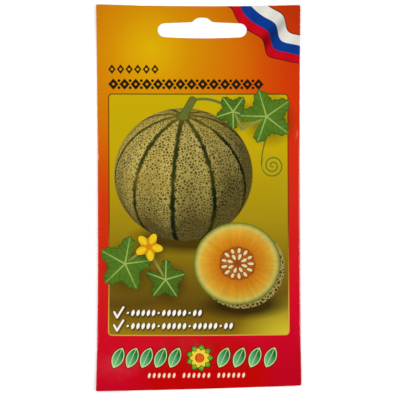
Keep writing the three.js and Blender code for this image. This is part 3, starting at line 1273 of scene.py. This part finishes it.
def drawChart(g, colour, x, y):
    # a year in twelve columns, with the busy months tinted, later in each row up
    c = backPlan["chart"]
    wide, high = c["size"]
    stepX, month = g.cell(x, -wide * c["columns"] / 2, wide, c["columns"])
    stepY, row = g.cell(y, c["low"], high, c["rows"])
    cell = (abs(stepX) - (wide / 2 - 0.25)).most(abs(stepY) - (high / 2 - 0.3))
    since = month - row * c["lag"] - c["start"]
    busy = g.inside(abs(since) - 1.45, 0.1)
    ripe = g.inside(abs(since - 2.2) - 0.7, 0.1)
    tinted = g.over(g.over(backPlan["cell"], backPlan["cellBusy"], busy), backPlan["cellRipe"], ripe)
    return g.over(colour, tinted, g.inside(cell))


def drawBackLeaf(g, colour, x, y):
    # a plain pointed leaf with its stalk
    leaf, inks = backPlan["leaf"], backPlan["leafInks"]
    px, py = g.turned(x - leaf["at"][0], y - leaf["at"][1], leaf["turn"])
    side = abs((py * 1.6 - abs(px) * 2.0).sine()) - 0.1
    blade = g.over(inks["blade"], inks["side"], g.inside(side, 0.4) * 0.6)
    blade = g.over(blade, inks["spine"], g.inside(abs(px) - 0.2))
    foot = -leaf["half"][1]
    stalk = capsule(g, px, py, (0.0, foot - leaf["stalk"]), (0.0, foot + 0.5), 0.3)
    colour = g.over(colour, inks["blade"], g.inside(stalk))
    return g.over(colour, blade, g.inside(lens(g, px, py, *leaf["half"])))


def drawBackBox(g, colour, x, y):
    # an empty ruled box
    edge = boxDistance(g, x, y, backPlan["box"], 1.0)
    colour = g.over(colour, backPlan["boxFill"], g.inside(edge))
    return g.over(colour, backPlan["ruleInk"], g.inside(abs(edge) - 0.14, 0.12))


def backPrint():
    # head and foot bands with rules, a chart, a leaf and a box between them
    g = Finish("backPrint")
    u, y = g.printPlace()
    b = backPlan
    x = u - (2 * halfWidth + b["middle"])
    mottle = g.noise(g.vector(x, y), 0.25, 3.0, 0.6) * 0.08 + 0.96
    colour = g.shaded(b["ground"], mottle)
    leftTint, rightTint = b["headTints"]
    head = g.ramp(x, [(-36, leftTint), (36, rightTint)])
    colour = g.over(colour, head, g.inside(b["headEdge"] - y))
    colour = g.over(colour, b["footTint"], g.inside(y - b["footEdge"]))
    for level in (b["headEdge"] + b["lineOffset"], b["footEdge"] - b["lineOffset"]):
        colour = g.over(colour, b["line"], g.inside(abs(y - level) - b["lineHalf"]))
    for draw in (drawRules, drawChart, drawBackLeaf, drawBackBox):
        colour = g.motif(draw, colour, x, y)
    return finishInk(g, g.motif(drawWear, colour, u, y), u, y)


plainPlan = {"white": tint(236, 232, 222), "mottle": 0.12, "roughness": 0.65, "patchiness": 0.15}


def plainPaper():
    # uncoated white paper: the inside of the packet and its cut edges
    p = plainPlan
    g = Finish("plainPaper")
    x, y = g.printPlace()
    fibre = g.noise(g.vector(x, y), 1.5, 4.0, 0.7)
    light = fibre * p["mottle"] + (1 - p["mottle"] / 2)
    g.feed(g.shader.inputs["Base Color"], g.shaded(p["white"], light))
    g.feed(g.shader.inputs["Roughness"], fibre * p["patchiness"] + p["roughness"])
    return g.material


# the loose seeds in the pouch
seedPlan = {
    "length": 10.5,
    "width": 4.8,
    "thickness": 1.8,
    "taper": 0.28,
    "rows": 3,
    "columns": 4,
    "columnPitch": 13.4,
    "rowPitch": 12.0,
    "bed": (0.0, -37.0, 0.3),
    "jitter": 0.6,
    "randomStart": 20,
    "lengthSteps": 26,
    "sides": 28,
    "rimSharpness": 14,
    "rimThinning": 0.35,
    "fullness": 0.8,
    "coat": [(0.3, tint(206, 178, 120)), (0.7, tint(240, 222, 174))],
    "roughness": 0.4,
    "relief": 0.04,
}


def seedCoat():
    # smooth cream coat, patchy and finely grained
    g = Finish("seedCoat")
    place = g.objectPlace()  # in metres
    streak = g.noise(place, 900.0, 3.0, 0.6)
    patch = g.noise(place, 160.0, 2.0)
    colour = g.ramp(streak * 0.6 + patch * 0.4, seedPlan["coat"])
    g.feed(g.shader.inputs["Base Color"], colour)
    g.feed(g.shader.inputs["Roughness"], streak * 0.2 + seedPlan["roughness"])
    g.feed(g.shader.inputs["Normal"], g.bump(streak, seedPlan["relief"] * mm, 0.4))
    return g.material


def seededNumbers(start):
    # the same row of numbers from 0 to 1 on each run
    state = start
    while True:
        state = (state * 1664525 + 1013904223) % 2 ** 32
        yield state / 2 ** 32


def seedMesh():
    # a flattened drop with a thin rim round its side, pointed towards +Y
    s = seedPlan
    turns = np.linspace(0, math.pi, s["lengthSteps"] + 1)[1:-1]
    widest = np.max(np.sin(turns) * (1 + s["taper"] * np.cos(turns)))
    sides = np.linspace(0, 2 * math.pi, s["sides"], endpoint=False)
    points = [(0, -s["length"] / 2, 0)]
    for turn in turns:
        size = math.sin(turn) * (1 + s["taper"] * math.cos(turn)) / widest
        for side in sides:
            rim = abs(math.cos(side)) ** s["rimSharpness"]
            flat = math.sin(side) * (1 - s["rimThinning"] * rim)
            points.append((
                s["width"] / 2 * size * math.cos(side),
                -s["length"] / 2 * math.cos(turn),
                s["thickness"] / 2 * size ** s["fullness"] * flat,
            ))
    points.append((0, s["length"] / 2, 0))
    rings, n = len(turns), s["sides"]
    faces = [(0, 1 + k, 1 + (k + 1) % n) for k in range(n)]
    for r in range(rings - 1):
        a = 1 + r * n
        faces += [(a + k, a + n + k, a + n + (k + 1) % n, a + (k + 1) % n) for k in range(n)]
    last = 1 + (rings - 1) * n
    faces += [(last + k, len(points) - 1, last + (k + 1) % n) for k in range(n)]
    mesh = bpy.data.meshes.new("melonSeed")
    mesh.from_pydata([tuple(part * mm for part in point) for point in points], [], faces)
    return mesh


def buildSeeds(coat):
    # rows of seeds, each a little off its place and turned at random
    s = seedPlan
    numbers = seededNumbers(s["randomStart"])
    bedX, bedY, bedZ = s["bed"]
    made = []
    for row in range(s["rows"]):
        for column in range(s["columns"]):
            x = bedX + s["columnPitch"] * (column - (s["columns"] - 1) / 2)
            x += s["jitter"] * (2 * next(numbers) - 1)
            y = bedY + s["rowPitch"] * (row - (s["rows"] - 1) / 2)
            y += s["jitter"] * (2 * next(numbers) - 1)
            turn = 2 * math.pi * next(numbers)
            mesh = seedMesh()
            spin = Matrix.Translation((x * mm, y * mm, (bedZ + s["thickness"] / 2) * mm))
            mesh.transform(spin @ Matrix.Rotation(turn, 4, "Z"))
            mesh.materials.append(coat)
            mesh.shade_smooth()
            number = f"{len(made) + 1:02d}"
            seed = bpy.data.objects.new("melonSeed" + number, mesh)
            bpy.context.scene.collection.objects.link(seed)
            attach(seed, "root")
            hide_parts("seed_" + number)
            made.append(seed)
    return made


# place in metres, size in metres and power in watts of each lamp
studio = {
    "lamps": [
        ("leftSoftbox", (-0.75, 0.05, 0.38), 0.5, 5.5),
        ("rightSoftbox", (0.75, 0.0, 0.38), 0.5, 6.2),
        ("headSoftbox", (0.05, 0.8, 0.42), 0.6, 6.0),
        ("footSoftbox", (-0.05, -0.8, 0.42), 0.6, 4.9),
    ],
    "ambient": 0.06,
    "floorSize": 3.0,
    "floorDrop": 0.02,
    "floorTone": 0.9,
    "cameraPlace": (-18.13, -14.54, 620.0),
    "cameraTurn": (1.238, -1.727, -0.075),
    "lens": 134.62,
}


def addLamp(name, place, size, power):
    lamp = bpy.data.lights.new(name, "AREA")
    lamp.size = size
    lamp.energy = power
    holder = bpy.data.objects.new(name, lamp)
    holder.location = place
    holder.rotation_euler = (-holder.location).to_track_quat("-Z", "Y").to_euler()
    bpy.context.scene.collection.objects.link(holder)


def addFloor():
    half = studio["floorSize"] / 2
    mesh = bpy.data.meshes.new("floor")
    corners = [(-half, -half, 0), (half, -half, 0), (half, half, 0), (-half, half, 0)]
    mesh.from_pydata(corners, [], [(0, 1, 2, 3)])
    tone = studio["floorTone"]
    g = Finish("floorWhite")
    g.shader.inputs["Base Color"].default_value = (tone, tone, tone, 1)
    g.shader.inputs["Roughness"].default_value = 0.9
    g.shader.inputs["Specular IOR Level"].default_value = 0.1
    mesh.materials.append(g.material)
    floor = bpy.data.objects.new("floor", mesh)
    floor.location.z = -studio["floorDrop"] * mm
    bpy.context.scene.collection.objects.link(floor)


def addCamera():
    camera = bpy.data.objects.new("camera", bpy.data.cameras.new("camera"))
    camera.data.lens = studio["lens"]
    camera.location = [part * mm for part in studio["cameraPlace"]]
    camera.rotation_euler = [math.radians(turn) for turn in studio["cameraTurn"]]
    bpy.context.scene.collection.objects.link(camera)
    bpy.context.scene.camera = camera


for lampSettings in studio["lamps"]:
    addLamp(*lampSettings)
world = bpy.data.worlds.new("studioWorld")
world.use_nodes = True
world.node_tree.nodes["Background"].inputs["Color"].default_value = (1, 1, 1, 1)
world.node_tree.nodes["Background"].inputs["Strength"].default_value = studio["ambient"]
bpy.context.scene.world = world
addFloor()
addCamera()
print("studio ready")

cutPaper = plainPaper()
sheet = buildSheet([frontPrint(), backPrint(), cutPaper])
punchSlot(sheet, cutPaper)
sheet.data.shade_smooth()
sheet.data.set_sharp_from_angle(angle=math.radians(50))
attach(sheet, "root")
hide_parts("packet_paper")
print("sheet ready:", len(sheet.data.polygons), "faces")

seeds = buildSeeds(seedCoat())
print("seeds ready:", len(seeds))
